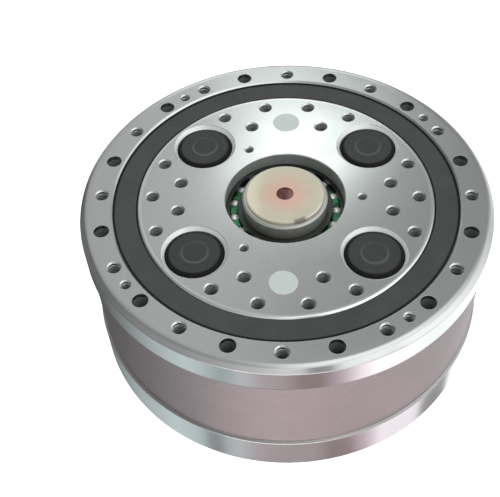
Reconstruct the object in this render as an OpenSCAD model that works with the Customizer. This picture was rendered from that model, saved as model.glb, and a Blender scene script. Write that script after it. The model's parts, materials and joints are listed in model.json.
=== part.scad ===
// Cycloidal reducer with a keyed input shaft and a flanged output.
// Everything is built outward from the mid-plane of the case, so both ends follow one set of sizes.
// Angles on the faces run clockwise from +Y, as on a dial. +Z leaves the output face.

/* [Case] */
// Outer diameter of the case
case_d = 240; // [216:1:270]
// Wall of the case around the bearing and seal seats
case_wall = 19; // [18:0.5:21]
// Height of the case
case_h = 103; // [93:1:120]
// Height of the turned band at the output end
top_band_h = 17; // [8:0.5:30]
// Height of the turned band at the input end
bottom_band_h = 26; // [8:0.5:34]
// Depth of the raw waist between the two bands
waist_depth = 1.5; // [0.5:0.1:3]
// Chamfer on the outer rims of the case
case_chamfer = 2.5; // [0.5:0.1:4]
// Chamfer at the mouth of the seal seats
seat_chamfer = 1; // [0.2:0.1:1.4]

/* [Case holes] */
// Distance from the rim of the case to the circle of all the holes in its face
bolt_edge = 12; // [10:0.5:13]
// Number of through bolt holes, and of threaded holes between them
case_bolts = 12; // [6:2:16]
// Diameter of the through bolt holes
bolt_hole_d = 9; // [6:0.5:10]
// Tapping diameter of the M8 threads in the case's output side and the output flange
thread_d = 6.8; // [5:0.1:7.2]
// Width of the countersink around a thread's mouth
thread_mouth = 0.8; // [0.2:0.1:1.2]
// Depth of the threads in the case
case_thread_depth = 20; // [10:1:40]
// Tapping diameter of the M10 threads in the case's input side
input_thread_d = 8.5; // [7.5:0.1:8.6]
// Diameter of the four jacking threads
jack_d = 5; // [3:0.5:6]
// Angle of the first jacking thread
jack_angle = 52.5; // [51:0.5:54]
// Depth of the jacking threads
jack_depth = 12; // [6:1:30]

/* [Gearing] */
// Number of ring pins; the discs have one lobe fewer
ring_pins_n = 40; // [36:1:44]
// How far the ring pin circle lies inside the bearing seats
ring_inset = 8; // [7:0.1:9]
// Diameter of a ring pin
ring_pin_d = 8; // [6:0.5:9]
// Eccentricity of the input shaft
ecc = 1.5; // [1:0.05:1.6]
// Thickness of one cycloid disc
disc_w = 20; // [14:0.5:21]
// Gap between the two discs
disc_gap = 2; // [1:0.1:3]
// Gap between a disc and the carrier flange beside it
flange_gap = 1.5; // [1.3:0.1:3]
// How far the ring pins' land reaches past a disc
land_over = 2; // [1.5:0.1:3]

/* [Main bearings] */
// Radial distance from the balls' pitch circle to each seat of the races
race_depth = 8.5; // [8:0.1:9.5]
// Ball diameter
main_ball_d = 10; // [8:0.5:10.5]
// Number of balls
main_balls_n = 40; // [24:1:44]
// Width of the races
race_w = 15; // [12:0.5:16]
// Gap between the pitch circle and a race's high shoulder
race_gap = 2.5; // [2:0.1:3]
// How much lower each race's open shoulder is
race_relief = 1.2; // [0:0.1:2]
// Height of a cage
main_cage_h = 13; // [12.5:0.1:14]
// Thickness of a cage
main_cage_t = 2.6; // [1.5:0.1:3]

/* [Seals] */
// How far the seals lie below the case faces
seal_drop = 1.5; // [1:0.1:3]
// Thickness of a seal's walls
seal_wall = 2.2; // [1.5:0.1:2.5]
// Wire diameter of the seals' springs
spring_d = 1.6; // [1:0.1:2]
// Length of a seal's lip
lip_len = 5; // [3:0.1:6]

/* [Carrier] */
// How far the carrier's rims stand out beyond the seats of the inner races
rim_step = 3; // [2:0.1:4]
// How far the carrier's faces lie below the case faces
flange_drop = 1; // [0.5:0.1:2]
// Chamfer on the flange's rim
flange_chamfer = 1.2; // [0.3:0.1:2]
// How far the clamp posts' circle lies inside the flange's rim
post_inset = 21.7; // [20.8:0.1:22]
// Half of the angle between two posts of a pair
post_angle = 40; // [39:0.5:41]
// Diameter of a clamp post
post_d = 22; // [18:0.5:24]
// Clamp bolt shank diameter
bolt_d = 12; // [8:1:14]
// Clamp bolt head diameter
bolt_head_d = 18; // [16:0.5:22]
// Clamp bolt head height
bolt_head_h = 12; // [8:0.5:13]
// Clamp bolt length below the head
bolt_len = 40; // [25:1:44]
// Clearance around a bolt head
bolt_head_clear = 1; // [0.3:0.1:1.5]
// Distance across the flats of the bolt head's socket
bolt_socket = 10; // [6:0.5:12]
// Diameter of the end caps over the bolts
cap_d = 34; // [28:0.5:35]
// Thickness of an end cap
cap_t = 6; // [4:0.5:7]
// How far an end cap lies below the flange face
cap_drop = 0.4; // [0.4:0.1:2.5]
// Width of the rounded shoulder of an end cap
cap_round = 3.2; // [1:0.1:4]
// Height of that shoulder
cap_round_h = 3.4; // [1:0.1:3.8]
// Radius of the raised ring on an end cap
cap_ring_r = 7.4; // [5:0.1:11]
// Width of that ring
cap_ring_w = 2; // [1:0.1:3]
// Height of that ring
cap_ring_h = 0.3; // [0.2:0.1:0.4]
// Chamfer around an end cap's hole
cap_chamfer = 2; // [0.5:0.1:2.2]
// Diameter of the two dowel pins
dowel_d = 16; // [10:0.5:17]
// How far the dowel pins' circle lies inside the flange's rim
dowel_inset = 24; // [22:0.1:26]
// How deep the dowel pins stand in the input side flange
dowel_seat = 13; // [8:0.5:16]

/* [Output pins] */
// How far the output pins' circle lies inside the flange's rim
out_pin_inset = 23; // [22:0.1:24]
// Angle between a clamp post and the output pin on each side of it
out_pin_angle = 26; // [25.5:0.1:26.5]
// Diameter of an output pin
out_pin_d = 11; // [8:0.5:12]
// Outer diameter of a roller
out_roller_d = 15; // [13.5:0.5:16]
// How deep the output pins stand in the flanges
out_pin_seat = 11; // [7:0.5:12]

/* [Output face holes] */
// How far the outer circle of threads lies inside the flange's rim
outer_thread_inset = 9; // [8:0.1:9.5]
// How far the inner circle of threads lies inside the flange's rim
inner_thread_inset = 24; // [23:0.1:25]
// First angle of the outer threads, and half the step between them
outer_thread_angle = 10; // [9.5:0.1:10.5]
// Angle of the inner threads from the dowel pins
inner_thread_angle = 20; // [18:0.5:22]
// Angle of the other inner threads from the middle between the dowel pins
side_thread_angle = 10; // [8:0.5:12]
// Depth of the threads
face_thread_depth = 13; // [8:0.5:14]
// Diameter of the three small threads around the bore
small_thread_d = 4.2; // [2.5:0.1:6]
// How far their circle lies outside the flange's bore
small_thread_edge = 10; // [8:0.5:12]
// Depth of the small threads
small_thread_depth = 10; // [6:0.5:16]

/* [Input shaft] */
// Radius of the journals
journal_r = 25; // [23:0.5:25]
// Height of the shoulders behind the shaft bearings
shoulder_step = 3; // [1.5:0.1:3.2]
// Height of the collar between the two eccentrics
collar_step = 3; // [1:0.1:3.5]
// How far the shaft's ends lie below the case faces
shaft_drop = 0.5; // [0.3:0.1:1]
// Diameter of the motor shaft bore
bore_d = 28; // [19:1:32]
// Width of the keyway
key_w = 8; // [5:0.5:10]
// Depth of the keyway beyond the bore
key_depth = 3.3; // [2:0.1:4]
// Length of the keyway
key_len = 50; // [20:1:70]
// Wall around the plug's seat in the output end of the shaft
plug_seat_wall = 3; // [2:0.1:6]
// Depth of the plug's seat
plug_seat_depth = 14; // [9:0.5:20]
// Chamfer on the shaft's ends
shaft_chamfer = 1; // [0.3:0.1:1.2]

/* [Plug] */
// How far the plug's head reaches over the rim of its seat
plug_lip = 0.7; // [0.4:0.1:1]
// Height of the plug's head
plug_head_h = 2; // [1:0.1:3]
// Length of the plug's skirt
plug_skirt = 8; // [4:0.5:8.5]
// Wall of the plug's skirt
plug_wall = 2; // [1:0.1:3]
// Diameter of the hole in the plug
plug_hole_d = 10; // [4:0.5:16]

/* [Shaft bearings] */
// Radial depth of the shaft bearings
shaft_brg_t = 11; // [10:0.1:12]
// Width of the shaft bearings
shaft_brg_w = 12; // [10:0.5:13]
// Ball diameter
shaft_ball_d = 7; // [6:0.1:7.2]
// Number of balls
shaft_balls_n = 17; // [10:1:19]
// Gap between the pitch circle and a ring's shoulder
shaft_ring_gap = 2.2; // [1.8:0.1:2.3]
// How far the flange's lip covers the bearing
lip_step = 1; // [0.8:0.1:2.5]
// Depth of the bore above the bearing
lip_depth = 8.5; // [7.5:0.1:10]
// Chamfer at the mouth of that bore
lip_chamfer = 0.5; // [0.3:0.1:2]
// Gap between a cage and the shoulders of the rings
shaft_cage_gap = 0.4; // [0.3:0.1:0.9]
// How far a cage reaches past the centres of the balls
shaft_cage_reach = 2.9; // [2:0.1:3.2]

/* [Eccentric bearings] */
// How far the eccentrics stand out beyond the shaft's shoulders at their lowest side
ecc_step = 0.5; // [0.2:0.1:1]
// Roller diameter
ecc_roller_d = 8; // [6:0.5:8.5]
// Roller length
ecc_roller_h = 16; // [10:0.5:16]
// Number of rollers in one bearing
ecc_rollers_n = 18; // [10:1:19]
// Thickness of a cage
ecc_cage_t = 3; // [2:0.1:4]
// Rim left above and below the rollers by a cage
ecc_cage_rim = 1.2; // [0.8:0.1:1.4]
// Thickness of the thrust washers
washer_t = 1; // [0.5:0.1:1.1]
// How far the thrust washers reach past the rollers' pitch circle
washer_reach = 2; // [0:0.1:2.5]

/* [Clearances] */
// Radial clearance of a piece pressed into its seat
press_clear = 0.02; // [0.01:0.01:0.05]
// Radial running clearance of rollers and pins
run_clear = 0.03; // [0.02:0.01:0.05]
// Clearance between the balls and their grooves
ball_clear = 0.1; // [0.05:0.01:0.2]
// Clearance of the cages around the balls and rollers
cage_clear = 0.15; // [0.1:0.01:0.3]
// Clearance between the discs' lobes and the ring pins
mesh_clear = 0.08; // [0.06:0.01:0.12]
// Clearance of a seal's lip on the piece that turns in it
lip_clear = 0.3; // [0.2:0.05:0.5]
// Clearance of the posts and dowels in the discs beyond the eccentric travel
window_clear = 0.8; // [0.5:0.1:1.2]
// End clearance of pins and rollers
end_clear = 0.2; // [0.1:0.05:0.4]

/* [Hidden] */
$fn = 96;

// Heights measured outward from the mid-plane
half_h = case_h / 2;
disc_in = disc_gap / 2;
disc_out = disc_in + disc_w;
flange_in = disc_out + flange_gap;
land_half = disc_out + land_over;
race_out = land_half + race_w;
race_mid = land_half + race_w / 2;
flange_out = half_h - flange_drop;
seal_out = half_h - seal_drop;
brg_out = flange_out - lip_depth;
brg_in = brg_out - shaft_brg_w;
brg_mid = brg_out - shaft_brg_w / 2;
shaft_end = half_h - shaft_drop;
cap_top = flange_out - cap_drop;
cap_bottom = cap_top - cap_t;
bolt_seat = cap_bottom - end_clear - bolt_head_h;

// Radii from the case inward
case_hole_r = case_d / 2 - bolt_edge;
seat_r = case_d / 2 - case_wall;
ring_r = seat_r - ring_inset;
land_r = ring_r + end_clear * 2;
main_pitch_r = seat_r - race_depth;
hub_r = main_pitch_r - race_depth;
flange_r = hub_r + rim_step;
post_r = flange_r - post_inset;
dowel_r = flange_r - dowel_inset;
out_pin_r = flange_r - out_pin_inset;

// Radii from the shaft outward
shaft_brg_r = journal_r + shaft_brg_t;
shaft_pitch_r = journal_r + shaft_brg_t / 2;
lip_r = shaft_brg_r - lip_step;
shoulder_r = journal_r + shoulder_step;
ecc_journal_r = shoulder_r + ecc + ecc_step;
ecc_pitch_r = ecc_journal_r + run_clear + ecc_roller_d / 2;
disc_bore_r = ecc_pitch_r + ecc_roller_d / 2 + run_clear;
plug_seat_r = journal_r - plug_seat_wall;

// The lobes
lobes_n = ring_pins_n - 1;
points_per_lobe = 16;
valley_crowding = 0.7;
through = 1;

// Angles of the holes on the carrier's faces
post_angles = [90 - post_angle, 90 + post_angle, 270 - post_angle, 270 + post_angle];
out_pin_angles = [for (a = post_angles) each [a - out_pin_angle, a + out_pin_angle]];
outer_thread_angles = [
    for (i = [0 : 17])
        let (a = outer_thread_angle * (2 * i + 1))
        if (min([for (p = post_angles) abs(a - p)]) > outer_thread_angle / 2) a
];
inner_thread_angles = [
    for (half = [0, 180], a = [inner_thread_angle, 90 - side_thread_angle]) each [half - a, half + a]
];
mouth_steel = [0.72, 0.73, 0.74];
bright_steel = [0.82, 0.83, 0.85];
race_steel = [0.6, 0.62, 0.65];
dark_rubber = [0.2, 0.2, 0.2];
cage_green = [0.12, 0.4, 0.18];
cage_brass = [0.75, 0.6, 0.3];
disc_steel = [0.55, 0.57, 0.6];
plug_ivory = [0.88, 0.82, 0.7];

// Puts the children on the face at an angle and a radius
module on_face(a, r) { rotate([0, 0, -a]) translate([0, r, 0]) children(); }

// Turns children drawn outward from the mid-plane to the upper end (1) or the lower end (-1)
module at_end(side) { translate([0, 0, half_h]) mirror([0, 0, side < 0 ? 1 : 0]) children(); }

// The cycloid flank: the ring pins' path over the disc, stepped inward by the pin's radius
function path_slope(t) = [
    -ring_r * sin(t) + ecc * ring_pins_n * sin(ring_pins_n * t),
    ring_r * cos(t) - ecc * ring_pins_n * cos(ring_pins_n * t)
];
function flank_point(t) =
    let (s = path_slope(t), back = (ring_pin_d / 2 + mesh_clear) / norm(s))
    [
        ring_r * cos(t) - ecc * cos(ring_pins_n * t) - back * s[1],
        ring_r * sin(t) - ecc * sin(ring_pins_n * t) + back * s[0]
    ];
// Even steps, drawn together in the valleys, where the flank bends most
function flank_angle(i) =
    let (even = i * 360 / (lobes_n * points_per_lobe))
    even - valley_crowding * sin(lobes_n * even) / lobes_n * 180 / PI;
flank = [for (i = [0 : lobes_n * points_per_lobe - 1]) flank_point(flank_angle(i))];

// A blind thread drawn at its tapping diameter, mouth up at z = 0, with its drill point
module blind_thread(d, depth) {
    translate([0, 0, -depth]) cylinder(d = d, h = depth + through);
    translate([0, 0, -depth - d / 4]) cylinder(d1 = d / 50, d2 = d, h = d / 4);
    translate([0, 0, -thread_mouth])
        cylinder(d1 = d, d2 = d + 2 * (thread_mouth + through), h = thread_mouth + through);
}

// A rubber lip seal: outer wall, face and an inner lip that points to the oil side
module lip_seal(inner, outer, inside, outside) {
    rotate_extrude() polygon([
        [inner, outside - lip_len], [inner, outside], [outer, outside], [outer, inside],
        [outer - seal_wall, inside], [outer - seal_wall, outside - seal_wall],
        [inner + seal_wall, outside - seal_wall], [inner + seal_wall, outside - lip_len]
    ]);
}

// The spring that holds the lip, at the same sizes as its seal
module lip_spring(inner, outside) {
    translate([0, 0, outside - lip_len + spring_d / 2])
        rotate_extrude()
            translate([inner + seal_wall + spring_d / 2 + press_clear, 0]) circle(d = spring_d);
}

// Rows of rolling elements
module balls(n, r, d, z) {
    for (i = [0 : n - 1]) rotate([0, 0, i * 360 / n]) translate([r, 0, z]) sphere(d = d);
}
module rollers(n, r, d, h) {
    for (i = [0 : n - 1]) rotate([0, 0, i * 360 / n]) translate([r, 0, -h / 2]) cylinder(d = d, h = h);
}

// A plain ring between two radii and two heights
module ring(inner, outer, low, high) {
    translate([0, 0, low]) difference() {
        cylinder(r = outer, h = high - low);
        translate([0, 0, -through]) cylinder(r = inner, h = high - low + 2 * through);
    }
}

// ---- Case and its ring pins ----
module case_profile() {
    polygon([
        [seat_r + seat_chamfer, half_h], [case_d / 2 - case_chamfer, half_h],
        [case_d / 2, half_h - case_chamfer], [case_d / 2, half_h - top_band_h],
        [case_d / 2 - waist_depth, half_h - top_band_h],
        [case_d / 2 - waist_depth, -half_h + bottom_band_h],
        [case_d / 2, -half_h + bottom_band_h], [case_d / 2, -half_h + case_chamfer],
        [case_d / 2 - case_chamfer, -half_h], [seat_r + seat_chamfer, -half_h],
        [seat_r, -half_h + seat_chamfer], [seat_r, -land_half], [land_r, -land_half],
        [land_r, land_half], [seat_r, land_half], [seat_r, half_h - seat_chamfer]
    ]);
}

module case() {
    step = 360 / case_bolts;
    color(mouth_steel) difference() {
        translate([0, 0, half_h]) rotate_extrude() case_profile();
        for (i = [0 : case_bolts - 1]) {
            on_face((i + 0.5) * step, case_hole_r)
                translate([0, 0, -through]) cylinder(d = bolt_hole_d, h = case_h + 2 * through);
            at_end(1) translate([0, 0, half_h])
                on_face(i * step, case_hole_r) blind_thread(thread_d, case_thread_depth);
            at_end(-1) translate([0, 0, half_h])
                on_face(i * step, case_hole_r) blind_thread(input_thread_d, case_thread_depth);
        }
        for (i = [0 : 3])
            at_end(1) translate([0, 0, half_h])
                on_face(jack_angle + i * 90, case_hole_r) blind_thread(jack_d, jack_depth);
        for (i = [0 : ring_pins_n - 1])
            rotate([0, 0, i * 360 / ring_pins_n])
                translate([ring_r, 0, half_h - land_half - through])
                    cylinder(d = ring_pin_d + 2 * press_clear, h = 2 * (land_half + through));
    }
}

module ring_pins() {
    color(bright_steel) translate([0, 0, half_h])
        rollers(ring_pins_n, ring_r, ring_pin_d, 2 * (land_half - end_clear));
}

// ---- Seals ----
module face_seal(side) {
    color(dark_rubber) at_end(side)
        lip_seal(flange_r + lip_clear, seat_r - press_clear, race_out, seal_out);
}

module output_seal() { face_seal(1); }
module input_side_seal() { face_seal(-1); }

module seal_springs() {
    color(race_steel) for (side = [-1, 1])
        at_end(side) lip_spring(flange_r + lip_clear, seal_out);
}

// ---- Main bearings: angular contact, outer races in the case, inner races on the carrier ----
module ball_groove(r, d, z) {
    translate([0, 0, z]) rotate_extrude() translate([r, 0]) circle(d = d + 2 * ball_clear);
}

module main_outer_race(side) {
    high = main_pitch_r + race_gap;
    color(race_steel) at_end(side) difference() {
        rotate_extrude() polygon([
            [high, land_half], [seat_r - press_clear, land_half], [seat_r - press_clear, race_out],
            [high + race_relief, race_out], [high + race_relief, race_mid], [high, race_mid]
        ]);
        ball_groove(main_pitch_r, main_ball_d, race_mid);
    }
}

module main_inner_race(side) {
    high = main_pitch_r - race_gap;
    color(race_steel) at_end(side) difference() {
        rotate_extrude() polygon([
            [hub_r + press_clear, land_half], [high - race_relief, land_half],
            [high - race_relief, race_mid], [high, race_mid], [high, race_out],
            [hub_r + press_clear, race_out]
        ]);
        ball_groove(main_pitch_r, main_ball_d, race_mid);
    }
}

module main_balls(side) {
    color(bright_steel) at_end(side) balls(main_balls_n, main_pitch_r, main_ball_d, race_mid);
}

module main_cage(side) {
    color(cage_brass) at_end(side) difference() {
        ring(main_pitch_r - main_cage_t / 2, main_pitch_r + main_cage_t / 2,
            race_mid - main_cage_h / 2, race_mid + main_cage_h / 2);
        for (i = [0 : main_balls_n - 1])
            rotate([0, 0, i * 360 / main_balls_n])
                translate([main_pitch_r - main_cage_t, 0, race_mid])
                    rotate([0, 90, 0])
                        cylinder(d = main_ball_d + 2 * cage_clear, h = 2 * main_cage_t);
    }
}

module main_outer_race_upper() { main_outer_race(1); }
module main_outer_race_lower() { main_outer_race(-1); }
module main_inner_race_upper() { main_inner_race(1); }
module main_inner_race_lower() { main_inner_race(-1); }
module main_balls_upper() { main_balls(1); }
module main_balls_lower() { main_balls(-1); }
module main_cage_upper() { main_cage(1); }
module main_cage_lower() { main_cage(-1); }

// ---- Carrier: two flanges clamped together by four bolts through the discs ----
module flange_profile() {
    polygon([
        [shaft_brg_r, flange_in], [hub_r, flange_in], [hub_r, race_out], [flange_r, race_out],
        [flange_r, flange_out - flange_chamfer], [flange_r - flange_chamfer, flange_out],
        [lip_r + lip_chamfer, flange_out], [lip_r, flange_out - lip_chamfer], [lip_r, brg_out],
        [shaft_brg_r, brg_out]
    ]);
}

module output_pin_seats() {
    for (a = out_pin_angles)
        on_face(a, out_pin_r)
            translate([0, 0, flange_in - through])
                cylinder(d = out_pin_d + 2 * press_clear, h = out_pin_seat + through);
}

module output_flange() {
    color(mouth_steel) at_end(1) difference() {
        rotate_extrude() flange_profile();
        output_pin_seats();
        for (a = post_angles) on_face(a, post_r) {
            translate([0, 0, flange_in - through])
                cylinder(d = bolt_d + 2 * cage_clear, h = bolt_seat - flange_in + 2 * through);
            translate([0, 0, bolt_seat])
                cylinder(d = bolt_head_d + 2 * bolt_head_clear, h = cap_bottom - bolt_seat + through);
            translate([0, 0, cap_bottom]) cylinder(d = cap_d, h = flange_out - cap_bottom + through);
            translate([0, 0, flange_out - cap_chamfer])
                cylinder(d1 = cap_d, d2 = cap_d + 2 * (cap_chamfer + through), h = cap_chamfer + through);
        }
        for (a = [0, 180])
            on_face(a, dowel_r)
                translate([0, 0, flange_in - through])
                    cylinder(d = dowel_d + 2 * press_clear, h = flange_out - flange_in + 2 * through);
        translate([0, 0, flange_out]) {
            for (a = outer_thread_angles)
                on_face(a, flange_r - outer_thread_inset) blind_thread(thread_d, face_thread_depth);
            for (a = inner_thread_angles)
                on_face(a, flange_r - inner_thread_inset) blind_thread(thread_d, face_thread_depth);
            for (a = [90, 210, 330])
                on_face(a, lip_r + small_thread_edge) blind_thread(small_thread_d, small_thread_depth);
        }
    }
}

module input_side_flange() {
    color(mouth_steel) difference() {
        union() {
            at_end(-1) rotate_extrude() flange_profile();
            for (a = post_angles)
                on_face(a, post_r)
                    translate([0, 0, half_h - flange_in]) cylinder(d = post_d, h = 2 * flange_in);
        }
        at_end(-1) output_pin_seats();
        for (a = post_angles)
            on_face(a, post_r)
                translate([0, 0, half_h + bolt_seat - bolt_len - end_clear])
                    cylinder(d = bolt_d + 2 * press_clear, h = bolt_len + end_clear);
        for (a = [0, 180])
            on_face(a, dowel_r)
                translate([0, 0, half_h - flange_in - dowel_seat])
                    cylinder(d = dowel_d + 2 * press_clear, h = dowel_seat + through);
    }
}

module clamp_bolts() {
    color(race_steel) translate([0, 0, half_h + bolt_seat])
        for (a = post_angles) on_face(a, post_r) difference() {
            union() {
                cylinder(d = bolt_head_d, h = bolt_head_h);
                translate([0, 0, -bolt_len]) cylinder(d = bolt_d, h = bolt_len);
            }
            translate([0, 0, bolt_head_h / 2])
                cylinder(d = bolt_socket / cos(30), h = bolt_head_h / 2 + through, $fn = 6);
        }
}

module end_cap() {
    r = cap_d / 2 - press_clear;
    round_steps = 5;
    rotate_extrude() polygon([
        [0, 0], [r, 0],
        for (i = [0 : round_steps])
            let (a = i * 90 / round_steps)
            [r - cap_round * (1 - cos(a)), cap_t - cap_round_h * (1 - sin(a))],
        [cap_ring_r + cap_ring_w / 2, cap_t], [cap_ring_r + cap_ring_w / 6, cap_t + cap_ring_h],
        [cap_ring_r - cap_ring_w / 6, cap_t + cap_ring_h], [cap_ring_r - cap_ring_w / 2, cap_t],
        [0, cap_t]
    ]);
}

module end_caps() {
    color(dark_rubber) translate([0, 0, half_h + cap_bottom])
        for (a = post_angles) on_face(a, post_r) end_cap();
}

module dowel_pins() {
    low = half_h - flange_in - dowel_seat;
    color(bright_steel) for (a = [0, 180])
        on_face(a, dowel_r)
            translate([0, 0, low]) cylinder(d = dowel_d, h = half_h + flange_out - low);
}

module output_pins() {
    color(bright_steel) for (a = out_pin_angles)
        on_face(a, out_pin_r)
            translate([0, 0, half_h - flange_in - out_pin_seat])
                cylinder(d = out_pin_d, h = 2 * (flange_in + out_pin_seat) - end_clear);
}

module output_roller(i) {
    color(bright_steel) translate([0, 0, half_h])
        on_face(out_pin_angles[i - 1], out_pin_r)
            ring(out_pin_d / 2 + run_clear, out_roller_d / 2, -disc_out, disc_out);
}

// ---- Cycloid discs, on eccentrics that stand opposite each other ----
module cycloid_disc(side) {
    turned = side > 0 ? -180 / lobes_n : 0;
    low = side > 0 ? half_h + disc_in : half_h - disc_out;
    hole_d = out_roller_d + 2 * (ecc + run_clear);
    color(disc_steel) translate([-side * ecc, 0, low]) difference() {
        rotate([0, 0, turned]) linear_extrude(disc_w) polygon(flank);
        translate([0, 0, -through]) {
            cylinder(r = disc_bore_r, h = disc_w + 2 * through);
            for (a = out_pin_angles)
                on_face(a, out_pin_r) cylinder(d = hole_d, h = disc_w + 2 * through);
            for (a = post_angles)
                on_face(a, post_r)
                    cylinder(d = post_d + 2 * (ecc + window_clear), h = disc_w + 2 * through);
            for (a = [0, 180])
                on_face(a, dowel_r)
                    cylinder(d = dowel_d + 2 * (ecc + window_clear), h = disc_w + 2 * through);
        }
    }
}

module at_eccentric(side) {
    translate([-side * ecc, 0, half_h + side * (disc_in + disc_out) / 2]) children();
}

module eccentric_rollers(side) {
    color(bright_steel) at_eccentric(side)
        rollers(ecc_rollers_n, ecc_pitch_r, ecc_roller_d, ecc_roller_h);
}

module eccentric_cage(side) {
    pocket_h = ecc_roller_h + 2 * cage_clear;
    pocket_w = ecc_roller_d + 2 * cage_clear;
    half = pocket_h / 2 + ecc_cage_rim;
    color(cage_brass) at_eccentric(side) difference() {
        ring(ecc_pitch_r - ecc_cage_t / 2, ecc_pitch_r + ecc_cage_t / 2, -half, half);
        for (i = [0 : ecc_rollers_n - 1])
            rotate([0, 0, i * 360 / ecc_rollers_n])
                translate([ecc_pitch_r - ecc_cage_t, -pocket_w / 2, -pocket_h / 2])
                    cube([2 * ecc_cage_t, pocket_w, pocket_h]);
    }
}

module thrust_washer(side) {
    color(race_steel) at_end(side)
        ring(shoulder_r + press_clear, ecc_pitch_r + washer_reach,
            disc_out + end_clear, disc_out + end_clear + washer_t);
}

module cycloid_disc_lower() { cycloid_disc(-1); }
module cycloid_disc_upper() { cycloid_disc(1); }
module eccentric_rollers_lower() { eccentric_rollers(-1); }
module eccentric_rollers_upper() { eccentric_rollers(1); }
module eccentric_cage_lower() { eccentric_cage(-1); }
module eccentric_cage_upper() { eccentric_cage(1); }
module thrust_washer_lower() { thrust_washer(-1); }
module thrust_washer_upper() { thrust_washer(1); }

// ---- Input shaft ----
module input_shaft() {
    color(bright_steel) difference() {
        union() {
            for (side = [-1, 1]) {
                at_end(side) {
                    cylinder(r = journal_r, h = shaft_end - shaft_chamfer);
                    translate([0, 0, shaft_end - shaft_chamfer])
                        cylinder(r1 = journal_r, r2 = journal_r - shaft_chamfer, h = shaft_chamfer);
                    cylinder(r = shoulder_r, h = brg_in);
                    cylinder(r = ecc_journal_r + collar_step, h = disc_in);
                }
                at_eccentric(side)
                    translate([0, 0, -disc_w / 2]) cylinder(r = ecc_journal_r, h = disc_w);
            }
        }
        translate([0, 0, half_h - shaft_end - through])
            cylinder(d = bore_d, h = 2 * shaft_end + 2 * through);
        translate([0, 0, half_h - shaft_end - through])
            cylinder(d1 = bore_d + 2 * (shaft_chamfer + through), d2 = bore_d,
                h = shaft_chamfer + through);
        translate([-key_w / 2, 0, half_h - shaft_end - through])
            cube([key_w, bore_d / 2 + key_depth, key_len + through]);
        translate([0, 0, half_h + shaft_end - plug_seat_depth])
            cylinder(r = plug_seat_r, h = plug_seat_depth + through);
    }
}

module shaft_plug() {
    plug_r = plug_seat_r + plug_lip;
    skirt_r = plug_seat_r - press_clear;
    round_off = plug_head_h / 3;
    color(plug_ivory) translate([0, 0, half_h + shaft_end]) rotate_extrude() polygon([
        [plug_hole_d / 2, -plug_head_h], [skirt_r - plug_wall, -plug_head_h],
        [skirt_r - plug_wall, -plug_skirt], [skirt_r, -plug_skirt], [skirt_r, 0], [plug_r, 0],
        [plug_r, plug_head_h - round_off], [plug_r - round_off, plug_head_h],
        [plug_hole_d / 2, plug_head_h]
    ]);
}

module shaft_seal() {
    color(dark_rubber) at_end(-1)
        lip_seal(journal_r + lip_clear, lip_r - press_clear, brg_out, flange_out - lip_chamfer / 3);
}

module shaft_seal_spring() {
    color(race_steel) at_end(-1) lip_spring(journal_r + lip_clear, flange_out - lip_chamfer / 3);
}

// ---- Shaft bearings: deep groove, open on both sides ----
module shaft_inner_ring(side) {
    color(bright_steel) at_end(side) difference() {
        ring(journal_r + press_clear, shaft_pitch_r - shaft_ring_gap, brg_in, brg_out);
        ball_groove(shaft_pitch_r, shaft_ball_d, brg_mid);
    }
}

module shaft_outer_ring(side) {
    color(bright_steel) at_end(side) difference() {
        ring(shaft_pitch_r + shaft_ring_gap, shaft_brg_r - press_clear, brg_in, brg_out);
        ball_groove(shaft_pitch_r, shaft_ball_d, brg_mid);
    }
}

module shaft_balls(side) {
    color(bright_steel) at_end(side) balls(shaft_balls_n, shaft_pitch_r, shaft_ball_d, brg_mid);
}

// A snap cage: its ring lies on the inner side and its pockets open outward
module shaft_cage(side) {
    cage_half = shaft_ring_gap - shaft_cage_gap;
    color(cage_green) at_end(side) difference() {
        ring(shaft_pitch_r - cage_half, shaft_pitch_r + cage_half,
            brg_in + shaft_brg_w / 12, brg_mid + shaft_cage_reach);
        for (i = [0 : shaft_balls_n - 1])
            rotate([0, 0, i * 360 / shaft_balls_n])
                translate([shaft_pitch_r - 2 * cage_half, 0, brg_mid])
                    rotate([0, 90, 0])
                        cylinder(d = shaft_ball_d + 2 * cage_clear, h = 4 * cage_half);
    }
}

module shaft_inner_ring_upper() { shaft_inner_ring(1); }
module shaft_inner_ring_lower() { shaft_inner_ring(-1); }
module shaft_outer_ring_upper() { shaft_outer_ring(1); }
module shaft_outer_ring_lower() { shaft_outer_ring(-1); }
module shaft_balls_upper() { shaft_balls(1); }
module shaft_balls_lower() { shaft_balls(-1); }
module shaft_cage_upper() { shaft_cage(1); }
module shaft_cage_lower() { shaft_cage(-1); }

case();
ring_pins();
output_seal();
input_side_seal();
seal_springs();
main_outer_race_upper();
main_outer_race_lower();
main_balls_upper();
main_balls_lower();
main_cage_upper();
main_cage_lower();
main_inner_race_upper();
main_inner_race_lower();
output_flange();
input_side_flange();
clamp_bolts();
end_caps();
dowel_pins();
output_pins();
output_roller(1);  // output_roller_1
output_roller(2);  // output_roller_2
output_roller(3);  // output_roller_3
output_roller(4);  // output_roller_4
output_roller(5);  // output_roller_5
output_roller(6);  // output_roller_6
output_roller(7);  // output_roller_7
output_roller(8);  // output_roller_8
cycloid_disc_lower();
cycloid_disc_upper();
eccentric_rollers_lower();
eccentric_rollers_upper();
eccentric_cage_lower();
eccentric_cage_upper();
thrust_washer_lower();
thrust_washer_upper();
input_shaft();
shaft_plug();
shaft_seal();
shaft_seal_spring();
shaft_inner_ring_upper();
shaft_inner_ring_lower();
shaft_outer_ring_upper();
shaft_outer_ring_lower();
shaft_balls_upper();
shaft_balls_lower();
shaft_cage_upper();
shaft_cage_lower();
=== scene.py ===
import json
import math

import bmesh
import bpy
from mathutils import Matrix, Vector


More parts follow.
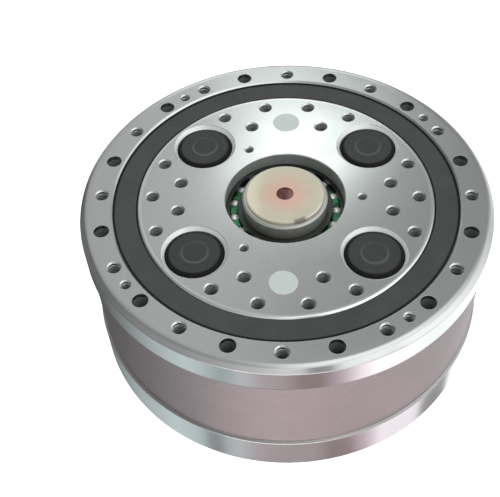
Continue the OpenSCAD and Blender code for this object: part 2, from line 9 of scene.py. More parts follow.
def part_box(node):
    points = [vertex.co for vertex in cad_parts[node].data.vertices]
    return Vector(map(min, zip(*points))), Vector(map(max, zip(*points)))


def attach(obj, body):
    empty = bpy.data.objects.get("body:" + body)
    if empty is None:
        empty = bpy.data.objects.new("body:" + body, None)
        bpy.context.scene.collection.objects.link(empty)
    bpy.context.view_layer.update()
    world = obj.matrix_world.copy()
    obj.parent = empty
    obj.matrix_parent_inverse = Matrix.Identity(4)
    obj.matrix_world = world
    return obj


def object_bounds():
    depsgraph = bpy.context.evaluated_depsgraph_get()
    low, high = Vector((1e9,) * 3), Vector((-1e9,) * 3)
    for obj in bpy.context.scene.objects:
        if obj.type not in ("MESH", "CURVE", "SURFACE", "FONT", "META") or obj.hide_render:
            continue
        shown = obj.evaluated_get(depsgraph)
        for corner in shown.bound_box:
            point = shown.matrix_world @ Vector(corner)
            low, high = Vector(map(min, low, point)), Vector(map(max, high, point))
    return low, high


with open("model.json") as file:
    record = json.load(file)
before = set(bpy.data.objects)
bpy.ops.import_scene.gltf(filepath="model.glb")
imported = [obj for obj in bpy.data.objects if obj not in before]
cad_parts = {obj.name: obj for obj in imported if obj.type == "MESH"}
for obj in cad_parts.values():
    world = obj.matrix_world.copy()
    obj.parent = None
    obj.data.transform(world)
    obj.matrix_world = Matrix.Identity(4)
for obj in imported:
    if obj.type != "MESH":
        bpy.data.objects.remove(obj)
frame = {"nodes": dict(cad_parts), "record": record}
cad_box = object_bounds()
scene = bpy.context.scene
record = frame["record"]
MM = 0.001
MICRON = 0.000001
DEGREES = 180 / math.pi

# ---------------------------------------------------------------- camera
CAMERA_AT = Vector((0.00843, -0.3544, 0.4876))
CAMERA_AZ, CAMERA_EL, CAMERA_ROLL = 4.972, 50.647, 3.665
CAMERA_SENSOR, CAMERA_LENS = 36, 64.385  # mm


def aimed(az, el, roll):
    """A camera's rotation: it looks down at el, from az, and is rolled about its own axis."""
    a, e, r = (math.radians(x) for x in (az, el, roll))
    back = Vector((math.sin(a) * math.cos(e), -math.cos(a) * math.cos(e), math.sin(e)))
    right = (-back).cross(Vector((0, 0, 1))).normalized()
    up = right.cross(-back)
    c, s = math.cos(r), math.sin(r)
    return Matrix((c * right - s * up, s * right + c * up, back)).transposed().to_4x4()


camera = bpy.data.objects.new("camera", bpy.data.cameras.new("camera"))
scene.collection.objects.link(camera)
scene.camera = camera
camera.data.lens = CAMERA_LENS
camera.data.sensor_width = CAMERA_SENSOR
camera.data.clip_start = 0.01
camera.data.clip_end = 50
camera.matrix_world = Matrix.Translation(CAMERA_AT) @ aimed(CAMERA_AZ, CAMERA_EL, CAMERA_ROLL)
scene.view_settings.view_transform = "Standard"
scene.view_settings.look = "None"


# ---------------------------------------------------------------- node helpers
class Graph:
    """A node tree and short ways to write it."""

    def __init__(self, tree):
        self.tree = tree
        tree.nodes.clear()

    def node(self, kind, inputs=None, **props):
        n = self.tree.nodes.new(kind)
        for k, v in props.items():
            setattr(n, k, v)
        for k, v in (inputs or {}).items():
            self.put(n.inputs[k], v)
        return n

    def put(self, socket, value):
        if isinstance(value, bpy.types.NodeSocket):
            self.tree.links.new(value, socket)
        elif hasattr(value, "__len__") and len(value) == 3 and socket.type == "RGBA":
            socket.default_value = (*value, 1)
        else:
            socket.default_value = value

    def math(self, op, a, b=0.0):
        return self.node("ShaderNodeMath", {0: a, 1: b}, operation=op).outputs[0]

    def add(self, a, b):
        return self.math("ADD", a, b)

    def minus(self, a, b):
        return self.math("SUBTRACT", a, b)

    def times(self, a, b):
        return self.math("MULTIPLY", a, b)

    def length(self, x, y):
        return self.math("SQRT", self.add(self.times(x, x), self.times(y, y)))

    def ramp(self, value, lo, hi, a=0.0, b=1.0, smooth=True):
        """Goes from a at lo to b at hi, and stays there beyond them."""
        kind = "SMOOTHSTEP" if smooth else "LINEAR"
        n = self.node("ShaderNodeMapRange", interpolation_type=kind, clamp=True)
        for k, v in (("Value", value), ("From Min", lo), ("From Max", hi), ("To Min", a), ("To Max", b)):
            self.put(n.inputs[k], v)
        return n.outputs["Result"]

    def fall(self, value, lo, hi):
        """1 up to lo, and 0 from hi on."""
        return self.ramp(value, lo, hi, 1.0, 0.0)

    def window(self, value, lo, hi, soft):
        """1 between lo and hi, and 0 outside them."""
        return self.times(self.ramp(value, lo - soft, lo + soft), self.fall(value, hi - soft, hi + soft))

    def mix(self, fac, a, b, blend="MIX"):
        n = self.node("ShaderNodeMix", data_type="RGBA", blend_type=blend)
        self.put(n.inputs["Factor"], fac)
        self.put(n.inputs[6], a)
        self.put(n.inputs[7], b)
        return n.outputs[2]

    def stops(self, degrees, table):
        """A colour, or a grey, that changes with an angle from -180 to 180 degrees."""
        n = self.node("ShaderNodeValToRGB", {0: self.ramp(degrees, -180, 180, smooth=False)})
        elements = n.color_ramp.elements
        while len(elements) < len(table):
            elements.new(0.5)
        for e, (angle, value) in zip(elements, table):
            e.position = (angle + 180) / 360
            e.color = (*value, 1) if hasattr(value, "__len__") else (value, value, value, 1)
        return n.outputs[0]

    def noise(self, scale, detail=2.0, at=None, rough=0.5, w=None):
        """Noise at a point, or along a length w."""
        n = self.node("ShaderNodeTexNoise", {"Scale": scale, "Detail": detail, "Roughness": rough},
                      noise_dimensions="3D" if w is None else "1D")
        if w is None:
            self.put(n.inputs["Vector"], at)
        else:
            self.put(n.inputs["W"], w)
        return n.outputs["Fac"]


# ---------------------------------------------------------------- studio light
# The metal shows what stands round it, so the studio is drawn by direction. Each list gives an azimuth in
# degrees and the light there, plus to the right. BACK_WALL counts from the back, the others from the front.
FLOOR_CARDS = [  # cards that lie on the floor round the part: the turned bands show them
    (-165, (0.08, 0.08, 0.08)), (-130, (0.13, 0.14, 0.14)), (-108, (0.26, 0.29, 0.29)),
    (-86, (0.46, 0.51, 0.52)), (-63, (0.64, 0.72, 0.73)), (-50, (0.57, 0.64, 0.65)),
    (-39, (0.40, 0.47, 0.47)), (-26, (0.61, 0.62, 0.64)), (-14, (0.52, 0.44, 0.46)),
    (-2, (0.48, 0.40, 0.41)), (10, (0.31, 0.24, 0.23)), (22, (0.34, 0.25, 0.25)),
    (35, (0.70, 0.57, 0.63)), (47, (1.30, 1.12, 1.18)), (60, (1.50, 1.48, 1.50)),
    (84, (1.34, 1.33, 1.34)), (98, (1.20, 1.22, 1.24)), (140, (1.25, 1.28, 1.28)),
    (165, (1.00, 1.04, 1.03)),
]
FRONT = [  # the room in front: the chamfers and the balls show it
    (-120, 0.15), (-89, 0.19), (-48, 0.39), (-32, 0.45), (-10, 0.65), (0, 0.80), (8, 0.75), (13, 0.34),
    (21, 0.34), (27, 1.05), (48, 1.30), (80, 1.20), (105, 0.90), (135, 0.75),
]
BACK_WALL = [  # the wall behind: the flat tops show it
    (-90, 0.26), (-74, 0.31), (-60, 0.36), (-45, 0.42), (-33, 0.44), (-24, 0.44), (-18, 0.455),
    (-12, 0.49), (-6, 0.45), (-2, 0.37), (3, 0.325), (9, 0.315), (18, 0.295), (60, 0.28),
]
LOW = [  # all that lies below the horizon and isn't a card
    (-172, 0.95), (-160, 0.88), (-148, 0.36), (-136, 0.12), (-120, 0.13), (-90, 0.04), (-10, 0.10),
    (30, 0.18), (60, 0.34), (92, 0.68), (110, 0.90), (135, 0.78), (160, 0.85), (172, 0.95),
]
NEAR_CARDS = [  # from, to, softness, colour: cards near the part, which only the lower band shows
    (68, 98, 6, (1.10, 0.98, 1.06)), (98, 126, 5, (0.29, 0.27, 0.28)), (-56, -45, 5, (0.30, 0.30, 0.31)),
]
CARD_BEND = 0.00035  # how much lower a card is seen with the square of its azimuth
WALL_FOOT = 53.4  # degrees up, straight behind, where the light wall starts
WALL_RISE = 0.048  # light that it gains with each degree further up
WALL_LEAN = 1.55  # light that it gains from the middle to the far right
LOW_LEFT = (0.05, 0.045, 0.045)  # the dark far left, under the cards
BACK_LIGHT = (0.92, 0.95, 0.94)  # a window low at the back
WHITE = (1.0, 1.0, 1.0)


def floor_cards(g, front_az, el):
    """The lower band is nearer to a card on the floor, so it sees the card further to the side."""
    near = g.ramp(g.minus(g.times(g.math("POWER", front_az, 2.0), CARD_BEND), el), 60.2, 62.4)
    left = g.times(g.math("MAXIMUM", g.times(front_az, -1.0), 0.0), 0.225)
    right = g.ramp(front_az, -8, 18, 0.0, -23.0)
    cards = g.stops(g.add(front_az, g.times(near, g.add(left, right))), FLOOR_CARDS)
    for lo, hi, soft, shade in NEAR_CARDS:
        cards = g.mix(g.times(near, g.window(front_az, lo, hi, soft)), cards, shade)
    return cards


def light_wall(g, x, y, el):
    """A light wall that leans in over the right: it starts lower the further to the right it stands."""
    past_zenith = g.times(g.math("LESS_THAN", y, 0.0), g.times(g.minus(90.0, el), 2.0))
    up = g.minus(g.add(el, past_zenith), WALL_FOOT)
    rise = g.add(g.times(up, WALL_RISE), g.times(x, WALL_LEAN))
    most = g.times(g.ramp(x, -0.10, 0.08, 0.43, 1.15, smooth=False),
                   g.ramp(x, -0.60, -0.15, 0.45, 1.0, smooth=False))
    rise = g.math("MINIMUM", rise, most)
    channels = {0: g.times(rise, 0.98), 1: rise, 2: g.times(rise, 0.99)}
    return g.node("ShaderNodeCombineXYZ", channels).outputs[0]


def build_world():
    world = bpy.data.worlds.new("studio")
    scene.world = world
    world.use_nodes = True
    g = Graph(world.node_tree)
    coord = g.node("ShaderNodeTexCoord")
    x, y, z = g.node("ShaderNodeSeparateXYZ", {0: coord.outputs["Generated"]}).outputs
    back_az = g.times(g.math("ARCTAN2", x, y), DEGREES)
    front_az = g.times(g.math("ARCTAN2", x, g.times(y, -1.0)), DEGREES)
    el = g.times(g.math("ARCSINE", z), DEGREES)

    dark = g.times(g.fall(el, -74, -66), g.fall(front_az, -120, -90))
    low = g.mix(dark, g.stops(front_az, LOW), LOW_LEFT)
    total = g.mix(g.ramp(el, -12, 12), low, g.stops(back_az, BACK_WALL))
    total = g.mix(g.ramp(el, 36, 46), total, g.mix(1.0, total, light_wall(g, x, y, el), "LIGHTEN"))
    total = g.mix(g.times(g.window(back_az, -17, 12.5, 3.5), g.window(el, 6, 34, 3.5)), total, BACK_LIGHT)
    # The room in front starts 23 degrees up in the middle, and at the horizon at the sides
    aside = g.math("ABSOLUTE", front_az)
    above = g.minus(el, g.ramp(aside, 48, 84, 23.0, 0.0))
    front = g.times(g.times(g.ramp(above, -5, 5), g.fall(el, 38.5, 48.5)), g.fall(aside, 118, 145))
    total = g.mix(front, total, g.stops(front_az, FRONT))
    total = g.mix(g.window(el, -67.5, -45.5, 3.5), total, floor_cards(g, front_az, el))
    # A low lamp in front for the edges, and two at the back for the glare on the tops behind the bore
    leaning = g.add(back_az, g.times(g.minus(el, 44.5), 1.5))
    lamps = (  # angle round, its range and softness, those of the angle up, colour, strength
        (front_az, (-34, 30, 16), (-46, 0, 5), (1.0, 0.93, 0.95), 2.2),
        (leaning, (-4.6, 5.5, 1.6), (42.8, 46.6, 1.2), (0.96, 1.03, 0.99), 2.4),
        (back_az, (-6.8, 1.8, 2.3), (35.5, 43.0, 2.0), (0.96, 1.03, 1.0), 0.5),
    )
    for angle, around, up, colour, strength in lamps:
        light = g.times(g.times(g.window(angle, *around), g.window(el, *up)), strength)
        tint = g.node("ShaderNodeVectorMath", {0: colour, 3: light}, operation="SCALE").outputs[0]
        total = g.node("ShaderNodeVectorMath", {0: total, 1: tint}, operation="ADD").outputs[0]
    seen = g.node("ShaderNodeLightPath").outputs["Is Camera Ray"]
    back = g.node("ShaderNodeBackground", {"Color": g.mix(seen, total, WHITE), "Strength": 1.0})
    g.node("ShaderNodeOutputWorld", {0: back.outputs[0]})


def area(name, at, target, size, power):
    """A round lamp for the dull surfaces. The metal doesn't show it."""
    data = bpy.data.lights.new(name, "AREA")
    data.shape = "DISK"
    data.size = size
    data.energy = power
    obj = bpy.data.objects.new(name, data)
    scene.collection.objects.link(obj)
    obj.location = at
    obj.rotation_mode = "QUATERNION"
    obj.rotation_quaternion = (Vector(target) - Vector(at)).to_track_quat("-Z", "Y")
    obj.visible_glossy = False


build_world()
area("key", (-0.35, 0.35, 1.3), (0, 0, 0.05), 0.9, 8)
area("fill", (0.55, -0.7, 1.1), (0, 0, 0.05), 0.9, 3)


# ---------------------------------------------------------------- sizes that the finishes follow
case_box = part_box("case")
flange_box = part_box("output_flange")
plug_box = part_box("shaft_plug")
caps_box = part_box("end_caps")
CASE_R, FACE_Z = case_box[1].x, case_box[1].z
FLANGE_R, FLANGE_Z = flange_box[1].x, flange_box[1].z
PLUG_R, PLUG_Z = plug_box[1].x, plug_box[1].z
CAP_R = 17 * MM
CAP_AT = (caps_box[1].x - CAP_R, caps_box[1].y - CAP_R)
BORE_R = 35 * MM
TOP_BAND, BOTTOM_BAND = 17 * MM, 26 * MM  # heights of the case's turned bands
RIM = CASE_R - 5.5 * MM, CASE_R - 2.5 * MM  # where the case's face rounds off towards its edge
RIM_CURVE = 74  # metres of fall for each square metre of way over the rim
SEAL_SHADOW = 99.2 * MM, 100 * MM  # where the painted shadow along the seal's outer edge starts
OUTPUT_END = FLANGE_Z - 24 * MM, FLANGE_Z - 22 * MM  # the output flange's steel ends down there
SHARP, TURNED, BROKEN, ROUNDED = 0.2 * MM, 0.25 * MM, 0.3 * MM, 1.4 * MM  # radii of softened edges


# ---------------------------------------------------------------- materials
def material(name):
    m = bpy.data.materials.new(name)
    m.use_nodes = True
    g = Graph(m.node_tree)
    g.bsdf = g.node("ShaderNodeBsdfPrincipled")
    g.node("ShaderNodeOutputMaterial", {0: g.bsdf.outputs[0]})
    g.at = g.node("ShaderNodeTexCoord").outputs["Object"]
    g.x, g.y, g.z = g.node("ShaderNodeSeparateXYZ", {0: g.at}).outputs
    g.r = g.length(g.x, g.y)
    g.m = m
    return g


def paint(g, where, colour=None, rough=None):
    """Changes the colour and adds to the roughness where a mask is 1."""
    if colour is not None:
        g.colour = g.mix(where, g.colour, colour)
    if rough is not None:
        g.rough = g.add(g.rough, g.times(where, rough))


def finish(g, height, depth, edge, metal):
    """Joins the colour, the roughness, the bump and the softened edges to the shader."""
    g.put(g.bsdf.inputs["Base Color"], g.colour)
    g.put(g.bsdf.inputs["Roughness"], g.rough)
    g.put(g.bsdf.inputs["Metallic"], metal)
    soft = g.node("ShaderNodeBevel", {"Radius": edge}, samples=6).outputs[0]
    n = g.node("ShaderNodeBump", {"Strength": 1.0, "Distance": depth, "Height": height, "Normal": soft})
    g.put(g.bsdf.inputs["Normal"], n.outputs[0])
    return g.m


def scaled(colour, factor):
    return tuple(c * factor for c in colour)


def turned(name, base, rough, marks, stain, change=None):
    """Machined steel: fine lathe lines round the axis, faint stains, dull scratches and softened edges."""
    g = material(name)
    across = g.add(g.r, g.z)
    fine = g.noise(2600, 3, w=across, rough=0.7)
    broad = g.noise(340, 2, w=across)
    patch = g.noise(38, 4, at=g.at, rough=0.6)
    speck = g.ramp(g.noise(700, 3, at=g.at, rough=0.7), 0.62, 0.78)
    shade = g.add(g.times(g.ramp(patch, 0.3, 0.7), stain), g.times(broad, stain * 0.8))
    g.colour = g.mix(shade, base, scaled(base, 0.80))
    g.colour = g.mix(g.times(speck, stain), g.colour, scaled(base, 0.5))
    g.rough = g.ramp(patch, 0.25, 0.75, rough - 0.012, rough + 0.02)
    g.height = g.add(fine, g.times(broad, 1.6))  # in microns where marks is 1
    g.edge = TURNED
    g.metal = 1.0
    if change:
        change(g)
    return finish(g, g.height, MICRON * marks, g.edge, g.metal)


def ground(name, base, rough, stain=0.03, metal=1.0):
    """Steel that was ground flat and not turned: an even fine grain."""
    g = material(name)
    grain = g.noise(2200, 3, at=g.at, rough=0.6)
    patch = g.noise(90, 3, at=g.at)
    g.colour = g.mix(g.times(g.ramp(patch, 0.3, 0.7), stain * 3), base, scaled(base, 0.8))
    g.rough = g.ramp(patch, 0.25, 0.75, rough - 0.02, rough + 0.03)
    return finish(g, grain, 2 * MICRON, SHARP, metal)


def rubber(name, base, rough, change):
    """Dull rubber with faint patches and dust."""
    g = material(name)
    patch = g.noise(55, 4, at=g.at, rough=0.6)
    fine = g.noise(1500, 3, at=g.at, rough=0.6)
    dust = g.ramp(g.noise(420, 3, at=g.at, rough=0.7), 0.56, 0.75)
    light = tuple(min(1, c * 1.25 + 0.004) for c in base)
    g.colour = g.mix(g.ramp(patch, 0.3, 0.7), base, scaled(base, 0.9))
    g.colour = g.mix(g.times(dust, 0.4), g.colour, light)
    g.rough = g.ramp(patch, 0.25, 0.75, rough - 0.06, rough + 0.06)
    g.bsdf.inputs["Specular IOR Level"].default_value = 0.25
    change(g)
    return finish(g, fine, 10 * MICRON, BROKEN, 0.0)


def plastic(name, base, dark, rough, change=None):
    """Moulded plastic in two shades."""
    g = material(name)
    patch = g.noise(70, 3, at=g.at)
    fine = g.noise(1800, 2, at=g.at)
    g.colour = g.mix(g.ramp(patch, 0.3, 0.7), base, dark)
    g.rough = g.ramp(patch, 0.25, 0.75, rough - 0.05, rough + 0.05)
    if change:
        change(g)
    return finish(g, fine, 6 * MICRON, SHARP, 0.0)


def wax():
    """Dark red preserving wax, wet and a little uneven, with a painted highlight on the right."""
    g = material("preserving_wax")
    blotch = g.noise(420, 4, at=g.at, rough=0.6)
    g.colour = g.mix(g.ramp(blotch, 0.35, 0.65), (0.115, 0.034, 0.028), (0.05, 0.015, 0.013))
    g.rough = g.ramp(blotch, 0.3, 0.7, 0.28, 0.42)
    # painted highlight: lighter towards the right
    paint(g, g.ramp(g.x, 0.4 * MM, 3.8 * MM, 0.0, 0.6), (0.26, 0.15, 0.13))
    return finish(g, blotch, 120 * MICRON, SHARP, 0.0)


def from_cap(g):
    """How far a point lies from the middle of the nearest end cap, seen from above."""
    dx = g.minus(g.math("ABSOLUTE", g.x), CAP_AT[0])
    dy = g.minus(g.math("ABSOLUTE", g.y), CAP_AT[1])
    return g.length(dx, dy)


def case_finish(g):
    """A rough rosy waist between the turned bands, dull holes, and a face that rounds off at its rim."""
    band_top, band_bottom = FACE_Z - TOP_BAND, case_box[0].z + BOTTOM_BAND
    waist = g.times(g.window(g.z, band_bottom, band_top, 0.2 * MM),
                    g.ramp(g.r, CASE_R - 10 * MM, CASE_R - 8 * MM))
    paint(g, g.ramp(g.r, CASE_R - 3.5 * MM, CASE_R - 2 * MM), rough=-0.05)
    rosy = g.mix(g.noise(60, 3, at=g.at), (0.47, 0.41, 0.418), (0.53, 0.47, 0.475))
    grain = g.noise(900, 3, at=g.at, rough=0.6)
    rosy = g.mix(g.ramp(grain, 0.35, 0.75, 0.0, 0.35), rosy, (0.34, 0.30, 0.305))
    paint(g, waist, rosy, 0.41)
    inside = g.times(g.fall(g.z, FACE_Z - 3.5 * MM, FACE_Z - 2.5 * MM),
                     g.fall(g.r, RIM[0], RIM[0] + 1 * MM))
    inside = g.times(inside, g.ramp(g.z, 4 * MM, 6 * MM))
    paint(g, inside, (0.30, 0.31, 0.31), 0.25)
    g.metal = g.minus(1.0, g.times(inside, 0.6))
    g.height = g.add(g.height, g.times(waist, g.times(grain, 14.0)))
    over_rim = g.math("MAXIMUM", g.minus(g.math("MINIMUM", g.r, RIM[1]), RIM[0]), 0.0)
    g.height = g.add(g.height, g.times(g.math("POWER", over_rim, 2.0), -RIM_CURVE / MICRON))
    # The edge is rounded most inside the corner of the face, less at the corner itself and further down
    most = g.add(g.ramp(g.r, CASE_R - 2.2 * MM, CASE_R - 1 * MM, 0.9 * MM, 0.0),
                 g.ramp(g.z, 80 * MM, 85 * MM, ROUNDED, 0.5 * MM))
    g.edge = g.math("MINIMUM", g.ramp(g.r, CASE_R - 4 * MM, RIM[1], BROKEN, ROUNDED, smooth=False), most)


def flange_finish(g):
    """Dull bore and holes, lighter slopes round the end caps, and a painted highlight along the outer edge.
    """
    output_end = g.ramp(g.z, *OUTPUT_END)
    bore = g.times(g.fall(g.r, BORE_R + 0.4 * MM, BORE_R + 0.8 * MM),
                   g.fall(g.z, FLANGE_Z - 1.2 * MM, FLANGE_Z - 0.4 * MM))
    paint(g, bore, (0.40, 0.43, 0.405), 0.36)
    out = from_cap(g)
    deep = g.times(g.fall(g.z, FLANGE_Z - 1.8 * MM, FLANGE_Z - 1 * MM),
                   g.ramp(g.r, BORE_R + 0.8 * MM, BORE_R + 1.4 * MM))
    deep = g.times(deep, g.ramp(out, CAP_R + 2.5 * MM, CAP_R + 3.5 * MM))
    deep = g.times(g.times(deep, g.fall(g.r, FLANGE_R - 3 * MM, FLANGE_R - 2 * MM)), output_end)
    paint(g, deep, (0.32, 0.33, 0.33), 0.28)
    slope = g.times(g.fall(out, CAP_R + 2 * MM, CAP_R + 2.3 * MM),
                    g.fall(g.z, FLANGE_Z - 0.3 * MM, FLANGE_Z - 0.1 * MM))
    slope = g.times(slope, output_end)
    paint(g, slope, (0.78, 0.81, 0.80), 0.16)
    # painted highlight along the flange's outer edge
    painted_edge_highlight = g.times(g.ramp(g.r, FLANGE_R - 3.4 * MM, FLANGE_R - 2 * MM), output_end)
    paint(g, painted_edge_highlight, (0.92, 0.945, 0.94))
    dull = g.math("MAXIMUM", g.math("MAXIMUM", bore, deep), slope)
    g.metal = g.minus(1.0, g.times(dull, 0.6))
    g.edge = g.ramp(g.r, FLANGE_R - 2.8 * MM, FLANGE_R - 1.4 * MM, BROKEN, ROUNDED, smooth=False)


def shaft_finish(g):
    """Ground steel with a painted shade that darkens it down inside the bearing."""
    # painted shade: darker from just below the flange's face down towards the bearing
    down = g.times(g.fall(g.z, FLANGE_Z - 12 * MM, FLANGE_Z - 1 * MM), g.ramp(g.z, 55 * MM, 65 * MM))
    paint(g, down, (0.24, 0.24, 0.225), 0.15)
    g.metal = 0.6


def seal_finish(g):
    """A painted shadow darkens the seal's outer edge, next to the case."""
    # painted shadow: the seal goes nearly black towards its outer edge
    paint(g, g.ramp(g.r, *SEAL_SHADOW), (0.008, 0.009, 0.009))


def cap_finish(g):
    """A painted shade on the rounded shoulder, and a painted highlight on the raised ring, strongest in
    front.
    """
    out = from_cap(g)
    ring = g.times(g.ramp(out, 6.2 * MM, 7 * MM), g.fall(out, 7.8 * MM, 8.6 * MM))
    in_front = g.math("LESS_THAN", g.y, 0.0)
    behind = g.add(g.y, g.add(-CAP_AT[1], g.times(in_front, 2 * CAP_AT[1])))
    front_highlight = g.ramp(behind, -4 * MM, 6 * MM, 1.0, 0.3)
    # painted highlight on the raised ring, strongest in front; the ring is also made smoother
    paint(g, g.times(ring, g.times(front_highlight, 0.75)), (0.085, 0.088, 0.086), -0.15)
    # painted shade: the rounded shoulder goes nearly black
    paint(g, g.ramp(out, 13.6 * MM, 15.2 * MM), (0.004, 0.0045, 0.004), 0.1)


def cage_finish(g):
    """Black grease lies in patches on the cage, and a painted shade darkens its back."""
    patch = g.noise(260, 3, at=g.at, rough=0.6)
    paint(g, g.ramp(patch, 0.50, 0.60), (0.006, 0.035, 0.014), -0.08)
    # painted shade on the back of the cage
    paint(g, g.ramp(g.y, 12.5 * MM, 15.5 * MM), (0.012, 0.020, 0.014))


def plug_finish(g):
    """Rosin-coloured plastic: salmon round the hole, paler at the edge, and dark red down the hole."""
    paint(g, g.ramp(g.r, 5 * MM, 19 * MM, 0.75, 0.0), (0.60, 0.34, 0.27))
    # A painted highlight on the left of the plug's edge
    lit = g.times(g.ramp(g.x, -21 * MM, -10 * MM, 0.55, 0.0), g.ramp(g.r, 10 * MM, 18 * MM))
    paint(g, lit, (0.72, 0.67, 0.50))
    paint(g, g.ramp(g.r, PLUG_R - 2.5 * MM, PLUG_R - 0.8 * MM, 0.0, 0.35), (0.60, 0.57, 0.46))
    hole = g.times(g.fall(g.r, 5.6 * MM, 6.2 * MM), g.fall(g.z, PLUG_Z - 0.6 * MM, PLUG_Z - 0.1 * MM))
    paint(g, hole, (0.16, 0.045, 0.038))
    paint(g, g.fall(g.z, PLUG_Z - 3.2 * MM, PLUG_Z - 2.4 * MM), (0.30, 0.27, 0.20))
    # A dark streak at the edge in front
    az = g.times(g.math("ARCTAN2", g.x, g.y), DEGREES)
    dark_streak = g.times(g.ramp(az, 144, 150), g.fall(az, 163, 168))
    dark_streak = g.times(dark_streak, g.ramp(g.r, PLUG_R - 2.2 * MM, PLUG_R - 1.4 * MM))
    paint(g, g.times(dark_streak, 0.75), (0.12, 0.11, 0.085), 0.2)


finishes = {
    "case_steel": turned("case_steel", (0.74, 0.765, 0.76), 0.17, 1.0, 0.05, case_finish),
    "flange_steel": turned("flange_steel", (0.76, 0.785, 0.78), 0.16, 1.0, 0.05, flange_finish),
    "seal_rubber": rubber("seal_rubber", (0.057, 0.061, 0.060), 0.75, seal_finish),
    "cap_rubber": rubber("cap_rubber", (0.041, 0.0445, 0.0435), 0.6, cap_finish),
    "plug_plastic": plastic("plug_plastic", (0.49, 0.46, 0.355), (0.45, 0.43, 0.335), 0.42, plug_finish),
    "green_cage": plastic("green_cage", (0.03, 0.25, 0.085), (0.02, 0.17, 0.055), 0.30, cage_finish),
    "brass_cage": turned("brass_cage", (0.78, 0.58, 0.28), 0.3, 1.5, 0.10),
    "disc_steel": turned("disc_steel", (0.60, 0.61, 0.63), 0.28, 2.0, 0.06),
    "shaft_steel": turned("shaft_steel", (0.52, 0.525, 0.49), 0.33, 2.0, 0.05, shaft_finish),
    "bolt_steel": turned("bolt_steel", (0.16, 0.16, 0.17), 0.4, 2.0, 0.1),
    "spring_steel": turned("spring_steel", (0.6, 0.6, 0.61), 0.3, 1.0, 0.1),
    "bearing_steel": ground("bearing_steel", (0.86, 0.87, 0.87), 0.10, 0.02),
}
shaft_balls = ground("shaft_ball_steel", (0.93, 0.93, 0.92), 0.22, 0.01, 0.55)
# The shaft bearing's rings get a nearly black steel.
dark_ring_steel = turned("dark_ring_steel", (0.10, 0.105, 0.10), 0.34, 2.0, 0.1)
of_node = {"dowel_pins": ground("dowel_steel", (0.53, 0.59, 0.57), 0.5, metal=0.2)}
for end in ("upper", "lower"):
    of_node["shaft_balls_" + end] = shaft_balls
    of_node["shaft_outer_ring_" + end] = dark_ring_steel
    of_node["shaft_inner_ring_" + end] = dark_ring_steel
for row in record["subparts"]:
    obj = frame["nodes"][row["node"]]
    finish_of = of_node.get(row["node"], finishes[row["material_slot"]])
    for slot in obj.material_slots:
        slot.material = finish_of
    if not obj.material_slots:
        obj.data.materials.append(finish_of)


# ---------------------------------------------------------------- added pieces
SUNK = 0.12 * MM  # how far a thread's crest is sunk in the wall of its hole
RIDGE = 0.2 * MM  # how far it stands out
# The crest's section: how far out from the wall, and how far along as a share of the pitch
CREST = ((SUNK, -0.42), (-RIDGE, -0.08), (-RIDGE, 0.08), (SUNK, 0.42))
PER_TURN = 20  # sections in a turn of a thread
FAINT = 0.15  # the share of the crest that is left at its two ends
THREAD_START = 1.5 * MM  # below the face
THREADS = {  # mount: first angle from +Y, pitch in mm, turns that can be seen
    "case_threads_input_side": (0, 1.5, 6),
    "case_jacking_threads": (52.5, 1.0, 6),
    "output_small_threads": (90, 0.8, 7),
}
M8_THREAD = (0, 1.25, 7)  # for all the others
WAX_PROFILE = (  # mm below the plug's face, radius in mm
    (2.1, 0.2), (2.1, 5.1), (0.55, 5.1), (0.9, 4.6), (1.15, 3.8), (1.3, 2.4), (1.34, 0.2),
)
FLASH_FROM, FLASH_TURN = 104, 46  # degrees from +Y
FLASH_STEPS, FLASH_SIDES = 32, 8
FLASH_R = 0.34 * MM
FLASH_IN, FLASH_DOWN = 0.25 * MM, 0.42 * MM  # how far the bead's middle lies in from the plug's edge


def piece(name, bm, body, finish_of):
    bmesh.ops.recalc_face_normals(bm, faces=bm.faces)
    mesh = bpy.data.meshes.new(name)
    bm.to_mesh(mesh)
    bm.free()
    for p in mesh.polygons:
        p.use_smooth = True
    obj = bpy.data.objects.new(name, mesh)
    scene.collection.objects.link(obj)
    obj.data.materials.append(finish_of)
    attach(obj, body)


def sweep(bm, rings):
    """Skins closed sections in order and caps both ends."""
    rows = [[bm.verts.new(p) for p in ring] for ring in rings]
    n = len(rows[0])
    for a, b in zip(rows, rows[1:]):
        for k in range(n):
            bm.faces.new((a[k], a[(k + 1) % n], b[(k + 1) % n], b[k]))
    bm.faces.new(rows[0][::-1])
    bm.faces.new(rows[-1])
    return bm


def thread(bm, centre, mouth, way, radius, pitch, turns):
    """The crest of an internal thread, one closed ridge that winds down a hole and fades at both ends."""
    steps = int(turns * PER_TURN)
    rings = []
    for i in range(steps + 1):
        a = 2 * math.pi * i / PER_TURN
        fade = min(1.0, FAINT + i / PER_TURN, FAINT + (steps - i) / PER_TURN)
        depth = pitch * i / PER_TURN
        ring = []
        for out, dz in CREST:
            r = radius + (out * fade if out < 0 else out)
            ring.append((centre[0] + r * math.sin(a), centre[1] + r * math.cos(a) * way,
                         mouth - way * (depth + dz * pitch * fade)))
        rings.append(ring)
    sweep(bm, rings)


def hole_centres(mount, first):
    """The holes of a mount, on a pitch circle or at the corners of a rectangle."""
    dims = mount["dims"]
    if "pcd_mm" in dims:
        r, n = dims["pcd_mm"] / 2 * MM, dims["count"]
        angles = [math.radians(first + 360 * i / n) for i in range(n)]
        return [(r * math.sin(a), r * math.cos(a)) for a in angles]
    x, y = dims["spacing_x_mm"] / 2 * MM, dims.get("spacing_y_mm", 0) / 2 * MM
    return sorted({(sx * x, sy * y) for sx in (-1, 1) for sy in (-1, 1)})


def ring_of(z, r, count=48):
    angles = [2 * math.pi * i / count for i in range(count)]
    return [(r * math.sin(a), r * math.cos(a), z) for a in angles]


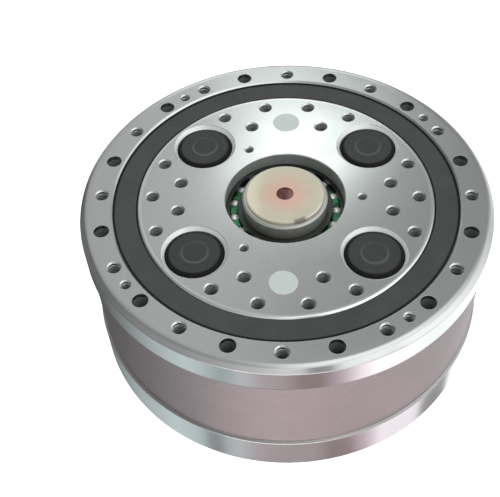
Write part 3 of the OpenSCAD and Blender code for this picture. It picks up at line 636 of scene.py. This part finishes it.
for mount in record["mounts"]:
    name = mount["name"]
    if "threads" not in name:
        continue
    first, pitch, turns = THREADS.get(name, M8_THREAD)
    on_case = name.startswith("case")
    end = case_box if on_case else flange_box
    way = 1 if mount["axis"][2] > 0 else -1
    mouth = (end[1].z if way > 0 else end[0].z) - way * THREAD_START
    bm = bmesh.new()
    for centre in hole_centres(mount, first):
        thread(bm, centre, mouth, way, mount["dims"]["hole_r_mm"] * MM, pitch * MM, turns)
    body, slot = ("case", "case_steel") if on_case else ("output_carrier", "flange_steel")
    piece("thread_" + name, bm, body, finishes[slot])

# A film of wax closes the hole in the plug, a little below its mouth, and climbs its wall
wax_rings = [ring_of(PLUG_Z - h * MM, r * MM) for h, r in WAX_PROFILE]
piece("plug_wax", sweep(bmesh.new(), wax_rings), "input_shaft", wax())

# A bead of flash stands on the moulded edge of the plug, to the right of the dark streak
flash_rings = []
for i in range(FLASH_STEPS + 1):
    t = i / FLASH_STEPS
    a = math.radians(FLASH_FROM + FLASH_TURN * t)
    w = FLASH_R * (math.sin(math.pi * t) ** 0.5 if 0 < t < 1 else 0.12)
    ring = []
    for k in range(FLASH_SIDES):
        b = 2 * math.pi * k / FLASH_SIDES
        r = PLUG_R - FLASH_IN + w * math.cos(b)
        ring.append((r * math.sin(a), r * math.cos(a), PLUG_Z - FLASH_DOWN + w * math.sin(b)))
    flash_rings.append(ring)
# The bead is real flash, but its pale colour is partly a painted glint
piece("plug_flash", sweep(bmesh.new(), flash_rings), "input_shaft",
      plastic("flash_glint_plastic", (0.86, 0.84, 0.76), (0.80, 0.78, 0.70), 0.22))


# ---------------------------------------------------------------- floor
def make_floor():
    """Pale paper that glows a little and isn't seen in the metal, which shows the floor cards instead."""
    mesh = bpy.data.meshes.new("floor")
    bm = bmesh.new()
    bmesh.ops.create_grid(bm, x_segments=8, y_segments=8, size=6.0)
    bm.to_mesh(mesh)
    bm.free()
    obj = bpy.data.objects.new("floor", mesh)
    scene.collection.objects.link(obj)
    obj.location.z = cad_box[0].z - 0.3 * MM
    g = material("floor_paper")
    g.colour = g.mix(g.noise(3, 2, at=g.at), (0.90, 0.90, 0.90), (0.93, 0.93, 0.93))
    g.rough = 0.9
    g.bsdf.inputs["Specular IOR Level"].default_value = 0.0
    g.bsdf.inputs["Emission Color"].default_value = (1, 1, 1, 1)
    g.bsdf.inputs["Emission Strength"].default_value = 0.7
    obj.data.materials.append(finish(g, g.noise(400, 3, at=g.at), 0.1 * MM, 0.1 * MM, 0.0))
    obj.visible_glossy = False


make_floor()
